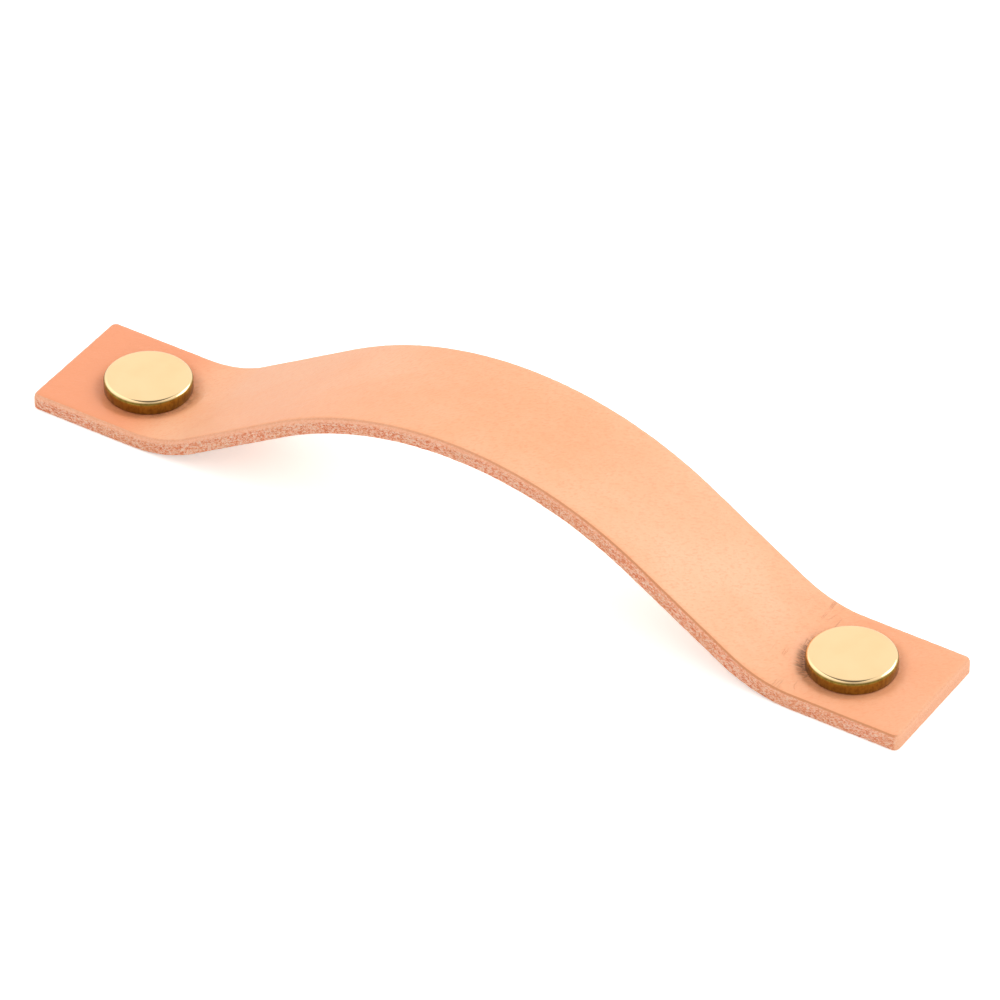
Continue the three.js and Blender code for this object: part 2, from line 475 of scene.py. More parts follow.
@dataclass(frozen=True)
class RawCutEdge:
    """The die-cut edge of the hide, left raw.

    The blade lays the fibres open, so the lower two thirds are a coarse mat with pale and dark flecks drawn
    out along the strap, and it drags the grain down over the top third, which stays smoother and pinker. The
    grain's skin shows as a thin brown seam. The ends were cut across the fibres by a sharper stroke and are
    smoother and paler. Fibre bundles of 0.1 mm are too fine to show, so they are drawn up to four times as
    coarse.
    """

    base: str = "#FFAC84"
    pale: str = "#FFDDC4"
    dark: str = "#DC7048"
    tan: str = "#F2AC80"
    grain_lip: str = "#FFBE9A"
    seam: str = "#E0966A"
    end: str = "#FDBF98"
    fleck: float = 0.17 * MM
    fibre: float = 0.38 * MM
    hue_run: float = 7 * MM
    fibre_depth: float = 0.2 * MM
    lip_start: float = 0.5 * MM
    seam_start: float = 0.36 * MM
    seam_full: float = 0.2 * MM
    end_start: float = 0.9 * MM
    end_full: float = 0.3 * MM

    def material(self, strap: "Strap") -> bpy.types.Material:
        """Builds the cut edge's material.

        Args:
            strap: The strap, for its sizes.

        Returns:
            The material.
        """
        material, shader, add = new_material("raw_cut_leather_edge")
        place = add("Attribute", output="Vector", attribute_name=FLAT_PLACE)
        along, up = (add("SeparateXYZ", (place,), axis) for axis in "XZ")
        drawn = add("Mapping", {"Vector": place, "Scale": (0.55, 1.0, 1.2)})
        inputs = {"Vector": drawn, "Scale": 1 / self.fibre, "Detail": 4.0, "Roughness": 0.7}
        fibres = add("TexNoise", inputs | {"Distortion": 0.4})
        drawn = add("Mapping", {"Vector": place, "Scale": (0.55, 1.0, 1.1)})
        flecks = add("TexNoise", {"Vector": drawn, "Scale": 1 / self.fleck, "Roughness": 0.6})
        hues = add("TexNoise", {"Vector": place, "Scale": 1 / self.hue_run, "Detail": 1.0})
        top = strap.thickness
        lip = add("MapRange", (up, top - strap.roll_depth - 0.1 * MM, top - self.lip_start), **EASED)
        on_left = add("MapRange", (along, -20 * MM, 40 * MM, 0.72, 0.3), **EASED)
        smoothed = add("Math", (lip, on_left), **TIMES)
        end = strap.half_length
        distance = add("Math", (along,), **ABSOLUTE)
        at_end = add("MapRange", (distance, end - self.end_start, end - self.end_full, 0.0, 0.75), **EASED)
        seam = add("MapRange", (up, top - self.seam_start, top - self.seam_full), **EASED)
        on_right = add("MapRange", (along, -40 * MM, 40 * MM, 0.25, 0.95), **EASED)
        seam = add("Math", (seam, on_right), **TIMES)
        seam = add("Math", (seam, add("Math", (1.0, at_end), **LESS)), **TIMES)
        colour = add("ValToRGB", (fibres,), stops=((0.35, self.dark), (0.5, self.base), (0.65, self.pale)))
        for share, tint in (
            (add("MapRange", (hues, 0.42, 0.6, 0.0, 0.45), **EASED), self.tan),
            (add("MapRange", (flecks, 0.52, 0.62, 0.0, 0.75), **EASED), self.pale),
            (add("MapRange", (flecks, 0.47, 0.37, 0.0, 0.75), **EASED), self.dark),
            (smoothed, self.grain_lip),
            (at_end, self.end),
            (seam, self.seam),
        ):
            colour = add("Mix", {0: share, 6: colour, 7: linear(tint)}, 2, **COLOURS)
        smooth = add("Math", (smoothed, at_end), operation="MAXIMUM")
        fade = add("MapRange", (smooth, 0.0, 1.0, 1.0, 0.25))
        height = add("Math", (add("Math", (fibres, flecks)), fade), **TIMES)
        look = {
            "Base Color": colour,
            "Roughness": 0.85,
            "Specular IOR Level": 0.2,
            "Normal": add("Bump", {"Height": height, "Distance": self.fibre_depth}),
        }
        set_inputs(shader, look)
        return material


@dataclass(frozen=True)
class FleshSide:
    """The hide's flesh side, shaved level and left unfinished.

    Short loose fibres give it a dull suede nap in soft patches, paler than the grain.
    """

    tone: str = "#E3AE88"
    pale: str = "#EFC6A6"
    dark: str = "#CC926C"
    nap: float = 0.7 * MM
    patch: float = 6 * MM
    nap_depth: float = 0.12 * MM

    def material(self) -> bpy.types.Material:
        """Builds the flesh side's material."""
        material, shader, add = new_material("leather_flesh_side")
        place = add("Attribute", output="Vector", attribute_name=FLAT_PLACE)
        inputs = {"Vector": place, "Scale": 1 / self.patch, "Detail": 3.0, "Roughness": 0.6}
        patch = add("TexNoise", inputs | {"Distortion": 0.8})
        drawn = add("Mapping", {"Vector": place, "Scale": (0.6, 1.0, 1.0)})
        nap = add("TexNoise", {"Vector": drawn, "Scale": 1 / self.nap, "Detail": 3.0, "Roughness": 0.7})
        colour = add("ValToRGB", (patch,), stops=((0.32, self.dark), (0.5, self.tone), (0.7, self.pale)))
        for share, tint in (
            (add("MapRange", (nap, 0.5, 0.7, 0.0, 0.5), **EASED), self.pale),
            (add("MapRange", (nap, 0.45, 0.3, 0.0, 0.4), **EASED), self.dark),
        ):
            colour = add("Mix", {0: share, 6: colour, 7: linear(tint)}, 2, **COLOURS)
        look = {
            "Base Color": colour,
            "Roughness": 0.92,
            "Specular IOR Level": 0.15,
            "Sheen Weight": 0.25,
            "Sheen Roughness": 0.5,
            "Normal": add("Bump", {"Height": nap, "Distance": self.nap_depth}),
        }
        set_inputs(shader, look)
        return material


@dataclass(frozen=True)
class PolishedBrass:
    """Free-machining brass, turned, its face and rim buffed, and clear lacquered.

    The buffing leaves a near mirror, while the side wall keeps its turning marks and stays rougher; its dark
    brown colour is painted shade and dark reflection. Turning marks of 0.05 mm are too fine to show, so they
    are drawn twice as coarse.
    """

    face: str = "#FBDBA7"
    warm: str = "#FAD7A2"
    # The wall's colours are painted shade and dark reflection, varied in random streaks.
    wall: str = "#9F8339"
    wall_dark: str = "#8A6E2F"
    cloud: float = 6 * MM
    streak: float = 0.5 * MM
    turning: float = 0.12 * MM
    turning_depth: float = 0.003 * MM
    buffed: float = 0.06 * MM
    wall_blend: float = 0.1 * MM

    def material(self, centre: float, wall_top: float) -> bpy.types.Material:
        """Builds the brass of one button.

        Args:
            centre: The button's place along X.
            wall_top: Height where the buffed rim starts, below which the wall's colour is painted shade.

        Returns:
            The material.
        """
        material, shader, add = new_material("polished_lacquered_brass")
        place = add("Mapping", {"Vector": add("TexCoord", output="Object"), "Location": (-centre, 0.0, 0.0)})
        cloud = add("TexNoise", {"Vector": place, "Scale": 1 / self.cloud})
        drawn = add("Mapping", {"Vector": place, "Scale": (1.0, 1.0, 0.5)})
        inputs = {"Vector": drawn, "Scale": 1 / self.streak, "Detail": 3.0, "Roughness": 0.6}
        streaks = add("TexNoise", inputs)
        drawn = add("Mapping", {"Vector": place, "Scale": (0.05, 0.05, 1.0)})
        turning = add("TexNoise", {"Vector": drawn, "Scale": 1 / self.turning, "Roughness": 0.6})
        up = add("SeparateXYZ", (place,), "Z")
        # Below the buffed rim the wall is rougher and painted dark as shade and dark reflection.
        on_wall = add("MapRange", (up, wall_top + self.buffed, wall_top - self.wall_blend), **EASED)
        patchy = add("MapRange", (streaks, 0.4, 0.62), **EASED)
        wall = add("Mix", {0: patchy, 6: linear(self.wall), 7: linear(self.wall_dark)}, 2, **COLOURS)
        patchy = add("MapRange", (cloud, 0.35, 0.65), **EASED)
        face = add("Mix", {0: patchy, 6: linear(self.face), 7: linear(self.warm)}, 2, **COLOURS)
        height = add("Math", (turning, on_wall), **TIMES)
        look = {
            "Base Color": add("Mix", {0: on_wall, 6: face, 7: wall}, 2, **COLOURS),
            "Metallic": 1.0,
            "Roughness": add("MapRange", (on_wall, 0.0, 1.0, 0.09, 0.3), **EASED),
            "Normal": add("Bump", {"Height": height, "Distance": self.turning_depth}),
        }
        set_inputs(shader, look)
        return material


@dataclass(frozen=True)
class BrightZincPlate:
    """Cold-headed steel with rolled threads, barrel plated in bright zinc.

    The barrel leaves it lustrous but not mirror bright, a cool grey with soft stains from the passivation.
    """

    tone: str = "#C3C7CB"
    stain: str = "#A9AEB2"
    blush: str = "#CDC9BC"
    patch: float = 2.5 * MM
    grit: float = 0.12 * MM
    grit_depth: float = 0.004 * MM

    def material(self) -> bpy.types.Material:
        """Builds the screws' material."""
        material, shader, add = new_material("bright_zinc_plated_steel")
        place = add("TexCoord", output="Object")
        patch = add("TexNoise", {"Vector": place, "Scale": 1 / self.patch, "Detail": 3.0, "Roughness": 0.6})
        grit = add("TexNoise", {"Vector": place, "Scale": 1 / self.grit, "Roughness": 0.6})
        stops = ((0.35, self.stain), (0.5, self.tone), (0.68, self.blush))
        look = {
            "Base Color": add("ValToRGB", (patch,), stops=stops),
            "Metallic": 1.0,
            "Roughness": add("MapRange", (patch, 0.3, 0.7, 0.24, 0.4), **EASED),
            "Normal": add("Bump", {"Height": grit, "Distance": self.grit_depth}),
        }
        set_inputs(shader, look)
        return material


@dataclass
class Strap:
    """The leather strap: a flat die-cut blank, punched, pressed under the buttons and bent into the arch."""

    hole_spacing: float = 128 * MM
    corner_radius: float = 1.1 * MM
    roll_width: float = 0.6 * MM
    roll_depth: float = 0.9 * MM
    flesh_chamfer: float = 0.25 * MM
    rise: float = 22.3 * MM
    flank_angle: float = math.radians(31.3)
    foot_radius: float = 22 * MM
    foot_inset: float = 4 * MM
    hole_radius: float = 3.3 * MM
    head_radius: float = 7.1 * MM
    press_depth: float = 0.3 * MM
    press_rim: float = 1.7 * MM
    press_climb: float = 0.6 * MM
    press_start: float = 0.1 * MM
    crease_reach: float = 3 * MM
    crease_height: float = 0.12 * MM
    crease_count: int = 48
    cell: float = 0.55 * MM
    edge_cell: float = 0.3 * MM

    def __post_init__(self) -> None:
        """Reads the strap's box, and works out its middle line from the driving sizes."""
        low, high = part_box("strap")
        self.width = high.y - low.y
        self.foot_x = self.hole_spacing / 2 - self.foot_inset
        self.tab = high.x - self.foot_x
        drop = 1 - math.cos(self.flank_angle)
        lean = math.sin(self.flank_angle)
        radius_sum = (self.foot_x * lean - self.rise * math.cos(self.flank_angle)) / drop
        self.crest_radius = radius_sum - self.foot_radius
        self.flank_run = (self.rise - radius_sum * drop) / lean
        self.foot_start = radius_sum * self.flank_angle + self.flank_run
        self.hole_run = self.foot_start + self.foot_inset
        self.half_length = self.foot_start + self.tab
        self.thickness = high.z - low.z - self.rise

    def blank(self) -> bpy.types.Object:
        """Makes the flat blank: a plate with round corners, rolled grain edges and chamfered flesh edges.

        Returns:
            The blank, lying along X with its flesh side at z = 0.
        """
        deselect_all()
        bpy.ops.mesh.primitive_plane_add(size=1)
        blank = bpy.context.object
        blank.name = "leather_strap"
        blank.scale = (2 * self.half_length, self.width, 1)
        settle(blank)
        with editing(blank, "VERT"):
            bpy.ops.mesh.select_all(action="SELECT")
            bpy.ops.mesh.bevel(affect="VERTICES", offset=self.corner_radius, segments=8, profile=0.5)
            bpy.ops.mesh.select_all(action="SELECT")
            raise_faces(self.thickness)
            bpy.ops.mesh.select_mode(type="EDGE")
            for level, offset, segments in (
                (self.thickness, self.roll_width, 5),
                (0.0, self.flesh_chamfer, 2),
            ):
                select_level(blank, level)
                bpy.ops.mesh.bevel(affect="EDGES", offset=offset, segments=segments, profile=0.5)
            bpy.ops.mesh.select_mode(type="VERT")
            select_verts(blank, lambda place: place.z > self.thickness - self.roll_width - EPS)
            deepen = self.roll_depth / self.roll_width
            bpy.ops.transform.resize(value=(1, 1, deepen), center_override=(0, 0, self.thickness))
        return blank

    def punch(self, blank: bpy.types.Object) -> None:
        """Punches the two holes.

        Args:
            blank: The flat blank.
        """
        for side in Side:
            deselect_all()
            place = (side.value * self.hole_run, 0, self.thickness / 2)
            bpy.ops.mesh.primitive_cylinder_add(
                vertices=64, radius=self.hole_radius, depth=self.thickness * 3, location=place
            )
            boolean_with(blank, bpy.context.object, "DIFFERENCE")

    def refine(self, blank: bpy.types.Object) -> None:
        """Cuts the blank into a fine net of faces, so that it can bend and take relief.

        Args:
            blank: The punched blank.
        """
        with editing(blank):
            bisect_at(even_places(-self.half_length, self.half_length, self.cell), 0)
            bisect_at(even_places(-self.width / 2, self.width / 2, self.cell), 1)
            wall = (self.flesh_chamfer, self.thickness - self.roll_depth)
            bisect_at(even_places(*wall, self.edge_cell), 2)

    def press_height(self, place: Vector) -> float:
        """How far the buttons press the grain down at a place on the flat blank.

        Args:
            place: The place on the blank.

        Returns:
            The depth at the grain, in metres.
        """
        distance = min(math.hypot(place.x - s.value * self.hole_run, place.y) for s in Side)
        before_foot = max(0.0, self.foot_start - abs(place.x))
        climb = min(before_foot * before_foot / (2 * self.foot_radius), self.press_climb)
        share = (distance - self.head_radius - self.press_start) / (self.press_rim + climb * 2)
        share = min(1.0, max(0.0, share))
        return (self.press_depth + climb) * (1 - share * share * (3 - 2 * share))

    def crease_depth(self, place: Vector) -> float:
        """How deep the radial creases are that the right button's head pushes up, at a place on the blank.

        Args:
            place: The place on the blank.

        Returns:
            The depth below the grain, in metres.
        """
        ahead, across = place.x - self.hole_run, place.y
        reach = math.hypot(ahead, across)
        beyond = (reach - self.head_radius) / self.crease_reach
        if not 0 < beyond < 1:
            return 0.0
        pushed = max(0.0, (CREASED_SIDE[0] * ahead + CREASED_SIDE[1] * across) / reach - 0.5)
        ripple = 0.5 + 0.5 * math.sin(self.crease_count * math.atan2(across, ahead))
        return self.crease_height * pushed * ripple * beyond * (1 - beyond) * 4

    def press(self, blank: bpy.types.Object) -> None:
        """Presses the seats under the buttons into the grain side.

        Args:
            blank: The refined blank.
        """
        for vert in blank.data.vertices:
            lift = vert.co.z / self.thickness
            vert.co.z -= (self.press_height(vert.co) + self.crease_depth(vert.co)) * lift * lift

    def mark(self, blank: bpy.types.Object) -> None:
        """Gives each face its material slot, and keeps each vertex's flat place for the patterns.

        Args:
            blank: The pressed blank.
        """
        for face in blank.data.polygons:
            region = Region.CUT_EDGE
            if face.normal.z > 0.8 and face.center.z > self.thickness / 2:
                region = Region.GRAIN
            if face.normal.z < -0.8:
                region = Region.FLESH
            face.material_index = region.value
        flat = blank.data.attributes.new(FLAT_PLACE, "FLOAT_VECTOR", "POINT")
        flat.data.foreach_set("vector", [c for vert in blank.data.vertices for c in vert.co])

    def roughen(self, blank: bpy.types.Object) -> None:
        """Raises the fibres of the cut edge, the soft unevenness of the grain and the nap of the flesh side.

        Args:
            blank: The marked blank, still flat.
        """
        reliefs = (
            (Region.CUT_EDGE, 0.75 * MM, 0.09 * MM, 0.7),
            (Region.GRAIN, 5 * MM, 0.06 * MM, 0.5),
            (Region.FLESH, 1.1 * MM, 0.06 * MM, 1.0),
        )
        for region, lump, depth, level in reliefs:
            name = f"{region.name.lower()}_relief"
            faces = (face for face in blank.data.polygons if face.material_index == region.value)
            group = blank.vertex_groups.new(name=name)
            group.add(sorted({vert for face in faces for vert in face.vertices}), 1.0, "REPLACE")
            texture = bpy.data.textures.new(name, "CLOUDS")
            texture.noise_scale = lump
            texture.noise_depth = 2
            modifier = blank.modifiers.new(name, "DISPLACE")
            modifier.texture = texture
            modifier.texture_coords = "LOCAL"
            modifier.vertex_group = name
            modifier.strength = depth
            modifier.mid_level = level
        apply_modifiers(blank)
        blank.vertex_groups.clear()

    def middle_line(self) -> bpy.types.Object:
        """Draws the line that the strap's middle follows: tab, foot arc, flank, crest arc, and back.

        Returns:
            A Bezier curve whose arcs are true to a micron.
        """
        level = self.thickness / 2
        lean, drop = math.sin(self.flank_angle), 1 - math.cos(self.flank_angle)
        pull = 4 / 3 * math.tan(self.flank_angle / 4)
        foot_pull, crest_pull = pull * self.foot_radius, pull * self.crest_radius
        tab_pull, flank_pull = self.tab / 3, self.flank_run / 3
        flank_foot = (self.foot_x - self.foot_radius * lean, level + self.foot_radius * drop)
        flank_head = (self.crest_radius * lean, level + self.rise - self.crest_radius * drop)
        # Each knot is its place along X, its height, its fall, and its handles outward and inward.
        knots = [
            (self.foot_x + self.tab, level, 0.0, tab_pull, tab_pull),
            (self.foot_x, level, 0.0, tab_pull, foot_pull),
            (*flank_foot, self.flank_angle, foot_pull, flank_pull),
            (*flank_head, self.flank_angle, flank_pull, crest_pull),
        ]
        left = [(-x, z, -fall, before, after) for x, z, fall, before, after in knots]
        crest = [(0.0, level + self.rise, 0.0, crest_pull, crest_pull)]
        right = [(x, z, fall, after, before) for x, z, fall, before, after in reversed(knots)]
        path = left + crest + right
        data = bpy.data.curves.new("middle_line", "CURVE")
        data.dimensions = "3D"
        data.twist_mode = "Z_UP"
        data.resolution_u = 64
        spline = data.splines.new("BEZIER")
        spline.bezier_points.add(len(path) - 1)
        for point, (x, z, fall, before, after) in zip(spline.bezier_points, path):
            along = Vector((math.cos(fall), 0, -math.sin(fall)))
            point.handle_left_type = point.handle_right_type = "FREE"
            point.co = Vector((x, 0, z))
            point.handle_left = point.co - along * before
            point.handle_right = point.co + along * after
        line = bpy.data.objects.new("middle_line", data)
        bpy.context.scene.collection.objects.link(line)
        return line

    def bend(self, blank: bpy.types.Object) -> None:
        """Bends the flat strap along its middle line.

        Args:
            blank: The marked blank.
        """
        for vert in blank.data.vertices:
            vert.co += Vector((self.half_length, 0, -self.thickness / 2))
        line = self.middle_line()
        modifier = blank.modifiers.new("bend", "CURVE")
        modifier.object = line
        modifier.deform_axis = "POS_X"
        apply_modifiers(blank)
        bpy.data.objects.remove(line, do_unlink=True)

    def build(self) -> bpy.types.Object:
        """Builds and dresses the strap.

        Returns:
            The finished piece.
        """
        strap = self.blank()
        self.punch(strap)
        self.refine(strap)
        self.press(strap)
        self.mark(strap)
        self.roughen(strap)
        self.bend(strap)
        smooth_by_angle(strap, 40)
        strap.data.materials.append(VegetableTannedGrain().material(self))
        strap.data.materials.append(RawCutEdge().material(self))
        strap.data.materials.append(FleshSide().material())
        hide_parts("strap")
        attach(strap, BODY)
        return strap


@dataclass
class Button:
    """A turned brass button: a flat polished head over a boss with a blind bore for the screw."""

    side: Side
    boss_radius: float = 3.0 * MM
    bore_radius: float = 2.1 * MM
    bore_end: float = 4.25 * MM
    head_height: float = 2.3 * MM
    rim_fillet: float = 0.7 * MM
    under_chamfer: float = 0.2 * MM
    boss_chamfer: float = 0.3 * MM
    crown: float = 0.04 * MM
    crown_rings: int = 12
    rim_share: float = 0.33
    facets: int = 160

    def build(self) -> bpy.types.Object:
        """Builds and dresses the button.

        Returns:
            The finished piece.
        """
        node = f"button_{self.side.name.lower()}"
        low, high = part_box(node)
        centre = (low.x + high.x) / 2
        radius = (high.x - low.x) / 2
        under = high.z - self.head_height
        deselect_all()
        bpy.ops.mesh.primitive_cylinder_add(
            vertices=self.facets,
            radius=radius,
            depth=self.head_height,
            location=(centre, 0, under + self.head_height / 2),
        )
        button = bpy.context.object
        button.name = f"brass_{node}"
        settle(button)
        with editing(button, "EDGE"):
            for level, offset, segments in ((high.z, self.rim_fillet, 12), (under, self.under_chamfer, 2)):
                select_level(button, level)
                bpy.ops.mesh.bevel(affect="EDGES", offset=offset, segments=segments, profile=0.5)
            bpy.ops.mesh.select_mode(type="FACE")
            self.turn_boss(button, radius, under, low.z)
            self.crown_face(button, radius, high.z)
        recalculate_normals(button)
        smooth_by_angle(button, 35)
        # Below this height the button's wall is painted dark as shade and dark reflection.
        wall_top = high.z - self.rim_fillet * self.rim_share
        button.data.materials.append(PolishedBrass().material(centre, wall_top))
        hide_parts(node)
        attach(button, BODY)
        return button

    def turn_boss(self, button: bpy.types.Object, radius: float, under: float, foot: float) -> None:
        """Draws the boss down from the head's underside and bores it.

        Args:
            button: The button in edit mode.
            radius: The head's radius.
            under: Height of the head's underside.
            foot: Height of the boss's end.
        """
        flat = radius - self.under_chamfer
        select_level(button, under, up=-1)
        bpy.ops.mesh.inset(thickness=flat - self.boss_radius)
        raise_faces(foot + self.boss_chamfer - under)
        raise_faces(-self.boss_chamfer)
        shrink = 1 - self.boss_chamfer / self.boss_radius
        bpy.ops.transform.resize(value=(shrink, shrink, 1))
        bpy.ops.mesh.inset(thickness=self.boss_radius - self.boss_chamfer - self.bore_radius)
        raise_faces(self.bore_end - foot)

    def crown_face(self, button: bpy.types.Object, radius: float, top: float) -> None:
        """Sinks the polished face a little towards its rim, as buffing rounds a flat face.

        Args:
            button: The button in edit mode.
            radius: The head's radius.
            top: Height of the face.
        """
        select_level(button, top, up=1)
        flat = radius - self.rim_fillet
        for _ in range(self.crown_rings):
            bpy.ops.mesh.inset(thickness=flat / (self.crown_rings + 1))
        mesh = bmesh.from_edit_mesh(button.data)
        centre = self.side.value * Strap.hole_spacing / 2
        for vert in mesh.verts:
            reach = math.hypot(vert.co.x - centre, vert.co.y) / radius
            lift = max(0.0, 1 - (top - vert.co.z) / self.rim_fillet)
            vert.co.z -= self.crown * reach * reach * lift
        bmesh.update_edit_mesh(button.data)


@dataclass
class Screw:
    """An M4 pan-head machine screw with its real helical thread."""

    side: Side
    pitch: float = 0.7 * MM
    thread_radius: float = 2.0 * MM
    root_radius: float = 1.57 * MM
    head_radius: float = 4.0 * MM
    head_height: float = 3.1 * MM
    head_wall: float = 0.9 * MM
    bearing: float = -18 * MM
    plain_shank: float = 1.2 * MM
    tip_chamfer: float = 0.5 * MM
    recess_depth: float = 1.8 * MM
    recess_span: float = 4.4 * MM
    recess_slot: float = 0.9 * MM
    recess_taper: float = 0.45
    clearance: float = 0.01 * MM
    steps: int = 40
    facets: int = 96

    def thread(self, tip: float) -> bpy.types.Object:
        """Winds the thread's profile into a helix and caps it at both ends.

        Args:
            tip: Height of the screw's end.

        Returns:
            A closed threaded rod on the Z axis.
        """
        start = self.bearing - self.pitch * 2
        crest, root = self.thread_radius, self.root_radius
        eighth, flank = self.pitch / 8, self.pitch * 5 / 16
        profile = [(root, 0.0), (crest, flank), (crest, flank + eighth), (root, self.pitch - eighth * 2)]
        profile.append((root, self.pitch))
        deselect_all()
        bpy.ops.mesh.primitive_plane_add(size=MM)
        rod = bpy.context.object
        with editing(rod, "VERT"):
            bpy.ops.mesh.select_all(action="SELECT")
            bpy.ops.mesh.delete(type="VERT")
            mesh = bmesh.from_edit_mesh(rod.data)
            verts = [mesh.verts.new((radius, 0, start + height)) for radius, height in profile]
            for lower, upper in zip(verts, verts[1:]):
                mesh.edges.new((lower, upper))
            bmesh.update_edit_mesh(rod.data)
        turns = math.ceil((tip - start) / self.pitch) + 2
        modifier = rod.modifiers.new("helix", "SCREW")
        modifier.axis = "Z"
        modifier.screw_offset = self.pitch
        modifier.iterations = turns
        modifier.steps = modifier.render_steps = self.steps
        modifier.use_merge_vertices = True
        modifier.merge_threshold = EPS
        apply_modifiers(rod)
        with editing(rod, "VERT"):
            bpy.ops.mesh.select_all(action="SELECT")
            bpy.ops.mesh.remove_doubles(threshold=EPS)
            for place, outward in ((tip, 1), (self.bearing - self.pitch * 0.5, -1)):
                bpy.ops.mesh.select_all(action="SELECT")
                cut = {"plane_co": (0, 0, place), "plane_no": (0, 0, outward), "threshold": EPS}
                bpy.ops.mesh.bisect(use_fill=True, clear_outer=True, **cut)
        recalculate_normals(rod)
        return rod

    def point(self, rod: bpy.types.Object, tip: float) -> None:
        """Cuts the chamfered point by keeping what lies inside a cone.

        Args:
            rod: The threaded rod.
            tip: Height of the screw's end.
        """
        below = self.bearing - self.head_height
        deselect_all()
        bpy.ops.mesh.primitive_cylinder_add(
            vertices=self.steps * 2,
            radius=self.thread_radius + self.clearance,
            depth=tip - below,
            location=(0, 0, (tip + below) / 2),
        )
        sleeve = bpy.context.object
        settle(sleeve)
        with editing(sleeve, "EDGE"):
            select_level(sleeve, tip)
            bpy.ops.mesh.bevel(affect="EDGES", offset=self.tip_chamfer, segments=1)
        boolean_with(rod, sleeve, "INTERSECT")

    def head(self) -> bpy.types.Object:
        """Makes the pan head with its crossed recess, and the short plain shank above it.

        Returns:
            The head, on the Z axis.
        """
        deselect_all()
        bpy.ops.mesh.primitive_cylinder_add(
            vertices=self.facets,
            radius=self.head_radius,
            depth=self.head_height,
            location=(0, 0, self.bearing - self.head_height / 2),
        )
        head = bpy.context.object
        settle(head)
        crown = self.bearing - self.head_height
        with editing(head, "EDGE"):
            select_level(head, crown)
            bpy.ops.mesh.bevel(
                affect="EDGES", offset=self.head_height - self.head_wall, segments=12, profile=0.5
            )
            bpy.ops.mesh.select_mode(type="FACE")
            select_level(head, self.bearing, up=1)
            bpy.ops.mesh.inset(thickness=self.head_radius - self.root_radius - 0.2 * MM)
            raise_faces(self.plain_shank)
        for turn in (0.0, QUARTER_TURN):
            deselect_all()
            bpy.ops.mesh.primitive_cube_add(size=1, location=(0, 0, crown), rotation=(0, 0, turn))
            slot = bpy.context.object
            slot.scale = (self.recess_span, self.recess_slot, self.recess_depth * 2)
            settle(slot)
            with editing(slot):
                top = crown + self.recess_depth
                select_verts(slot, lambda place: place.z > top - EPS)
                bpy.ops.transform.resize(value=(self.recess_taper, self.recess_taper, 1))
            boolean_with(head, slot, "DIFFERENCE")
        return head

    def build(self) -> bpy.types.Object:
        """Builds and dresses the screw.

        Returns:
            The finished piece.
        """
        node = f"screw_{self.side.name.lower()}"
        low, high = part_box(node)
        rod = self.thread(high.z)
        self.point(rod, high.z)
        boolean_with(rod, self.head(), "UNION")
        rod.name = f"steel_{node}"
        rod.location.x = (low.x + high.x) / 2
        settle(rod)
        recalculate_normals(rod)
        smooth_by_angle(rod, 30)
        rod.data.materials.append(BrightZincPlate().material())
        for face in rod.data.polygons:
            face.material_index = 0
        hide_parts(node)
        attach(rod, BODY)
        return rod


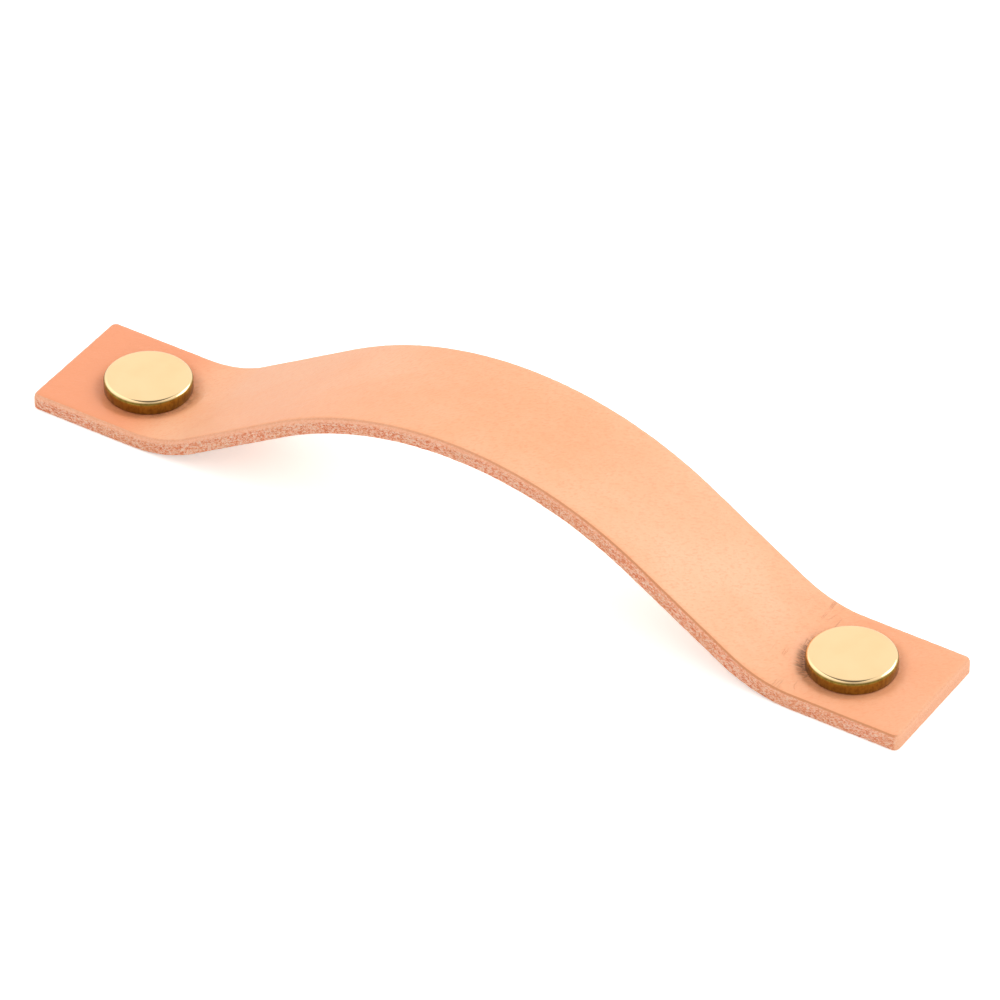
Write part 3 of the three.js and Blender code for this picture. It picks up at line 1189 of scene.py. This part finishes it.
@dataclass
class Studio:
    """A white table, which is the face of the drawer front, soft lamps and the camera."""

    floor_level: float = -0.03 * MM
    floor_size: float = 4.0
    azimuth: float = math.radians(31.73)
    elevation: float = math.radians(37.95)
    roll: float = math.radians(0.64)
    distance: float = 1158 * MM
    lens: float = 270.0
    sensor: float = 36.0
    aim_across: float = 1.24 * MM
    aim_up: float = 5.63 * MM
    floor_lift: float = 0.4
    room_level: float = 0.58
    wall_glow: float = 0.5
    left_glow: float = 0.42
    gap_level: float = 0.15
    gap_elevation: float = math.radians(72)
    gap_half_width: float = math.radians(12)
    gap_half_height: float = math.radians(25)

    def camera(self) -> None:
        """Places the camera where the photograph was taken from."""
        toward = Vector((math.sin(self.azimuth), -math.cos(self.azimuth), 0))
        level = Vector((math.cos(self.azimuth), math.sin(self.azimuth), 0))
        back = toward * math.cos(self.elevation) + Vector((0, 0, math.sin(self.elevation)))
        upright = back.cross(level)
        right = level * math.cos(self.roll) + upright * math.sin(self.roll)
        up = upright * math.cos(self.roll) - level * math.sin(self.roll)
        data = bpy.data.cameras.new("camera")
        data.sensor_width = self.sensor
        data.lens = self.lens
        data.clip_start = 0.01
        data.clip_end = 20
        camera = bpy.data.objects.new("camera", data)
        bpy.context.scene.collection.objects.link(camera)
        camera.matrix_world = Matrix((right, up, back)).transposed().to_4x4()
        camera.location = back * self.distance + right * self.aim_across + up * self.aim_up
        bpy.context.scene.camera = camera

    def floor(self) -> None:
        """Lays the white floor under the tabs, a little brighter to the camera than its light makes it."""
        deselect_all()
        bpy.ops.mesh.primitive_plane_add(size=self.floor_size, location=(0, 0, self.floor_level))
        floor = bpy.context.object
        floor.name = "floor"
        settle(floor)
        material, shader, add = new_material("white_floor")
        seen = add("LightPath", output="Is Camera Ray")
        look = {
            "Base Color": linear(WHITE),
            "Roughness": 0.9,
            "Specular IOR Level": 0.0,
            "Emission Color": linear(WHITE),
            "Emission Strength": add("Math", (seen, self.floor_lift), **TIMES),
        }
        set_inputs(shader, look)
        floor.data.materials.append(material)

    def lamp(
        self, name: str, toward: Vector, distance: float, size: float, radiance: float, mirrored: bool
    ) -> None:
        """Hangs a square soft lamp that faces the handle.

        Args:
            name: The lamp's name.
            toward: The direction from the handle to the lamp.
            distance: How far away it hangs, in metres.
            size: The length of its side, in metres.
            radiance: How bright its face is, where a white wall in full light is 1.
            mirrored: Whether the brass mirrors it.
        """
        data = bpy.data.lights.new(name, "AREA")
        data.shape = "SQUARE"
        data.size = size
        data.energy = radiance * math.pi * size * size
        lamp = bpy.data.objects.new(name, data)
        bpy.context.scene.collection.objects.link(lamp)
        lamp.visible_glossy = mirrored
        lamp.location = toward.normalized() * distance
        lamp.rotation_euler = (-toward).to_track_quat("-Z", "Y").to_euler()

    def facing(self, add: AddNode, toward: Vector, wide: float, narrow: float) -> Socket:
        """How far a ray's direction lies inside a soft cone.

        Args:
            add: Adds a node.
            toward: The cone's direction.
            wide: Half angle in degrees where it starts.
            narrow: Half angle in degrees inside which it is full.

        Returns:
            0 outside the cone, 1 well inside it.
        """
        direction = add("TexCoord", output="Generated")
        closeness = add("VectorMath", (direction, toward.normalized()), "Value", **AGREEMENT)
        span = (math.cos(math.radians(wide)), math.cos(math.radians(narrow)))
        return add("MapRange", (closeness, *span), **EASED)

    def gap(self, add: AddNode) -> Socket:
        """Leaves an upright oval gap between the lamps, which each button's rim mirrors as a dark line.

        Args:
            add: Adds a node.

        Returns:
            What the room's brightness is multiplied by.
        """
        across = Vector((math.cos(self.azimuth), math.sin(self.azimuth), 0))
        away = Vector((-math.sin(self.azimuth), math.cos(self.azimuth), 0))
        centre = away * math.cos(self.gap_elevation) + Vector((0, 0, math.sin(self.gap_elevation)))
        upright = centre.cross(across)
        inputs = {
            "Vector": add("TexCoord", output="Generated"),
            "Rotation": Matrix((across, upright, centre)).transposed().to_euler(),
            "Scale": (math.sin(self.gap_half_width), math.sin(self.gap_half_height), FAR),
        }
        reach = add("VectorMath", (add("Mapping", inputs, vector_type="TEXTURE"),), "Value", **LENGTH)
        return add("MapRange", (reach, 0.8, 1.2, self.gap_level, 1.0), **EASED)

    def room(self) -> None:
        """Surrounds the handle with a white wall behind, a dimmer room in front and a gap between lamps."""
        world = bpy.data.worlds.new("white_room")
        world.use_nodes = True
        tree = world.node_tree
        add = partial(add_node, tree)
        wall = self.facing(add, Vector((-0.2, 0.95, 0.3)), wide=105, narrow=50)
        level = add("Math", (add("Math", (wall, self.wall_glow), **TIMES), self.room_level))
        left = self.facing(add, Vector((-0.6, -0.3, 0.74)), wide=54, narrow=26)
        left = add("Math", (left, add("LightPath", output="Is Glossy Ray")), **TIMES)
        level = add("Math", (level, add("Math", (left, self.left_glow), **TIMES)))
        level = add("Math", (level, self.gap(add)), **TIMES)
        level = add("Math", (level, add("LightPath", output="Is Camera Ray")), operation="MAXIMUM")
        set_inputs(tree.nodes["Background"], {"Color": linear(WHITE), "Strength": level})
        bpy.context.scene.world = world

    def light(self) -> None:
        """Lights the handle with the room and lamps behind on the right, overhead and low in front."""
        self.room()
        for name, toward, distance, size, radiance, mirrored in (
            ("back_right_lamp", (0.375, 0.67, 0.644), 1.4, 0.75, 2.4, True),
            ("top_lamp", (0.12, -0.45, 0.88), 1.3, 0.9, 1.55, False),
            ("front_lamp", (0.3, -0.94, 0.12), 1.4, 0.75, 1.1, False),
        ):
            self.lamp(name, Vector(toward), distance, size, radiance, mirrored)

    def build(self) -> None:
        """Sets up the camera, floor, lamps and view."""
        self.camera()
        self.floor()
        self.light()
        bpy.context.scene.view_settings.view_transform = "Standard"


def main() -> None:
    """Builds the studio and the handle, and reports each piece."""
    Studio().build()
    builders = [Strap(), *(Button(side) for side in Side), *(Screw(side) for side in Side)]
    for builder in builders:
        piece = builder.build()
        log.info("%s: %d vertices, %d faces", piece.name, len(piece.data.vertices), len(piece.data.polygons))


if __name__ == "__main__":
    main()
